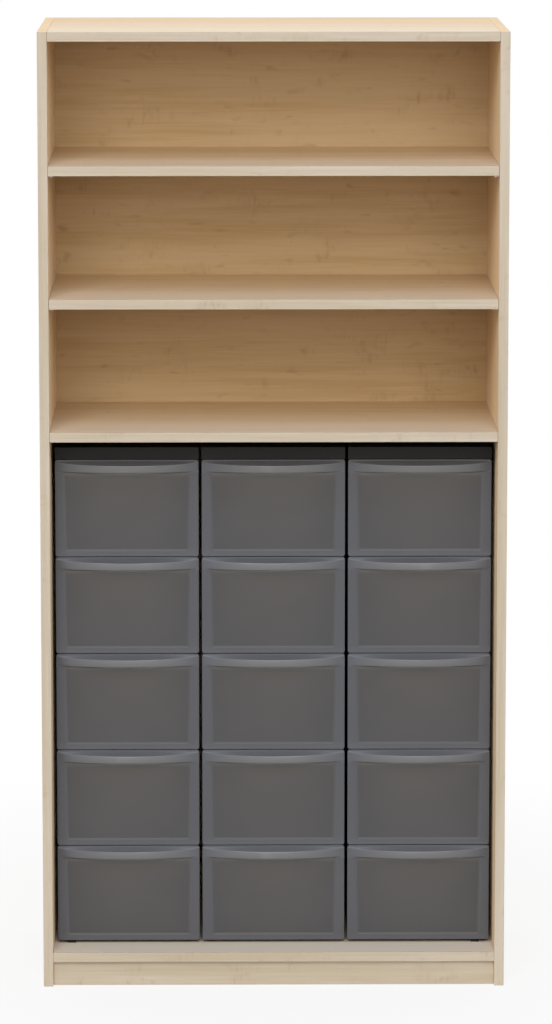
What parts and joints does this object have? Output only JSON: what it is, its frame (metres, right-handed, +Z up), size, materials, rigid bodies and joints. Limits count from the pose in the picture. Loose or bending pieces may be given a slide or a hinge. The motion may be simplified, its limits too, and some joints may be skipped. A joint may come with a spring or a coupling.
{
  "type": "classroom tray storage unit",
  "caption": "Tall open-shelf cupboard in maple-decor board with towers of smoky translucent pull-out drawers in its lower half.",
  "frame": {"origin": "middle of the footprint, on the floor", "axes": "+Z up, +X to the right seen from the front, -Y out of the open front"},
  "size_m": [0.918, 0.48, 1.9],
  "materials": {
    "maple_board": "satin maple-decor melamine on chipboard, ABS edge band",
    "pin_steel": "nickel-plated steel",
    "anthracite_plastic": "moulded anthracite polypropylene",
    "smoke_plastic": "smoky translucent polypropylene, satin"
  },
  "bodies": {
    "cabinet": {"left_side": "maple_board", "right_side": "maple_board", "top_panel": "maple_board", "bottom_panel": "maple_board", "upper_shelf": "maple_board", "middle_shelf": "maple_board", "fixed_shelf": "maple_board", "back_panel": "maple_board", "front_plinth": "maple_board", "rear_plinth": "maple_board", "upper_pin_front_left": "pin_steel", "upper_pin_front_right": "pin_steel", "upper_pin_rear_left": "pin_steel", "upper_pin_rear_right": "pin_steel", "middle_pin_front_left": "pin_steel", "middle_pin_front_right": "pin_steel", "middle_pin_rear_left": "pin_steel", "middle_pin_rear_right": "pin_steel", "tower_stop_left": "anthracite_plastic", "tower_stop_right": "anthracite_plastic", "left_cover": "anthracite_plastic", "middle_cover": "anthracite_plastic", "right_cover": "anthracite_plastic", "left_housing_1": "anthracite_plastic", "left_housing_2": "anthracite_plastic", "left_housing_3": "anthracite_plastic", "left_housing_4": "anthracite_plastic", "left_housing_5": "anthracite_plastic", "middle_housing_1": "anthracite_plastic", "middle_housing_2": "anthracite_plastic", "middle_housing_3": "anthracite_plastic", "middle_housing_4": "anthracite_plastic", "middle_housing_5": "anthracite_plastic", "right_housing_1": "anthracite_plastic", "right_housing_2": "anthracite_plastic", "right_housing_3": "anthracite_plastic", "right_housing_4": "anthracite_plastic", "right_housing_5": "anthracite_plastic"},
    "left_drawer_1": {"left_drawer_1": "smoke_plastic"},
    "left_drawer_2": {"left_drawer_2": "smoke_plastic"},
    "left_drawer_3": {"left_drawer_3": "smoke_plastic"},
    "left_drawer_4": {"left_drawer_4": "smoke_plastic"},
    "left_drawer_5": {"left_drawer_5": "smoke_plastic"},
    "middle_drawer_1": {"middle_drawer_1": "smoke_plastic"},
    "middle_drawer_2": {"middle_drawer_2": "smoke_plastic"},
    "middle_drawer_3": {"middle_drawer_3": "smoke_plastic"},
    "middle_drawer_4": {"middle_drawer_4": "smoke_plastic"},
    "middle_drawer_5": {"middle_drawer_5": "smoke_plastic"},
    "right_drawer_1": {"right_drawer_1": "smoke_plastic"},
    "right_drawer_2": {"right_drawer_2": "smoke_plastic"},
    "right_drawer_3": {"right_drawer_3": "smoke_plastic"},
    "right_drawer_4": {"right_drawer_4": "smoke_plastic"},
    "right_drawer_5": {"right_drawer_5": "smoke_plastic"}
  },
  "joints": [
    {"name": "left_drawer_1_slide", "type": "slide", "parent": "cabinet", "child": "left_drawer_1", "axis": [0, -1, 0], "range_m": [0, 0.28]},
    {"name": "left_drawer_2_slide", "type": "slide", "parent": "cabinet", "child": "left_drawer_2", "axis": [0, -1, 0], "range_m": [0, 0.28]},
    {"name": "left_drawer_3_slide", "type": "slide", "parent": "cabinet", "child": "left_drawer_3", "axis": [0, -1, 0], "range_m": [0, 0.28]},
    {"name": "left_drawer_4_slide", "type": "slide", "parent": "cabinet", "child": "left_drawer_4", "axis": [0, -1, 0], "range_m": [0, 0.28]},
    {"name": "left_drawer_5_slide", "type": "slide", "parent": "cabinet", "child": "left_drawer_5", "axis": [0, -1, 0], "range_m": [0, 0.28]},
    {"name": "middle_drawer_1_slide", "type": "slide", "parent": "cabinet", "child": "middle_drawer_1", "axis": [0, -1, 0], "range_m": [0, 0.28]},
    {"name": "middle_drawer_2_slide", "type": "slide", "parent": "cabinet", "child": "middle_drawer_2", "axis": [0, -1, 0], "range_m": [0, 0.28]},
    {"name": "middle_drawer_3_slide", "type": "slide", "parent": "cabinet", "child": "middle_drawer_3", "axis": [0, -1, 0], "range_m": [0, 0.28]},
    {"name": "middle_drawer_4_slide", "type": "slide", "parent": "cabinet", "child": "middle_drawer_4", "axis": [0, -1, 0], "range_m": [0, 0.28]},
    {"name": "middle_drawer_5_slide", "type": "slide", "parent": "cabinet", "child": "middle_drawer_5", "axis": [0, -1, 0], "range_m": [0, 0.28]},
    {"name": "right_drawer_1_slide", "type": "slide", "parent": "cabinet", "child": "right_drawer_1", "axis": [0, -1, 0], "range_m": [0, 0.28]},
    {"name": "right_drawer_2_slide", "type": "slide", "parent": "cabinet", "child": "right_drawer_2", "axis": [0, -1, 0], "range_m": [0, 0.28]},
    {"name": "right_drawer_3_slide", "type": "slide", "parent": "cabinet", "child": "right_drawer_3", "axis": [0, -1, 0], "range_m": [0, 0.28]},
    {"name": "right_drawer_4_slide", "type": "slide", "parent": "cabinet", "child": "right_drawer_4", "axis": [0, -1, 0], "range_m": [0, 0.28]},
    {"name": "right_drawer_5_slide", "type": "slide", "parent": "cabinet", "child": "right_drawer_5", "axis": [0, -1, 0], "range_m": [0, 0.28]}
  ]
}
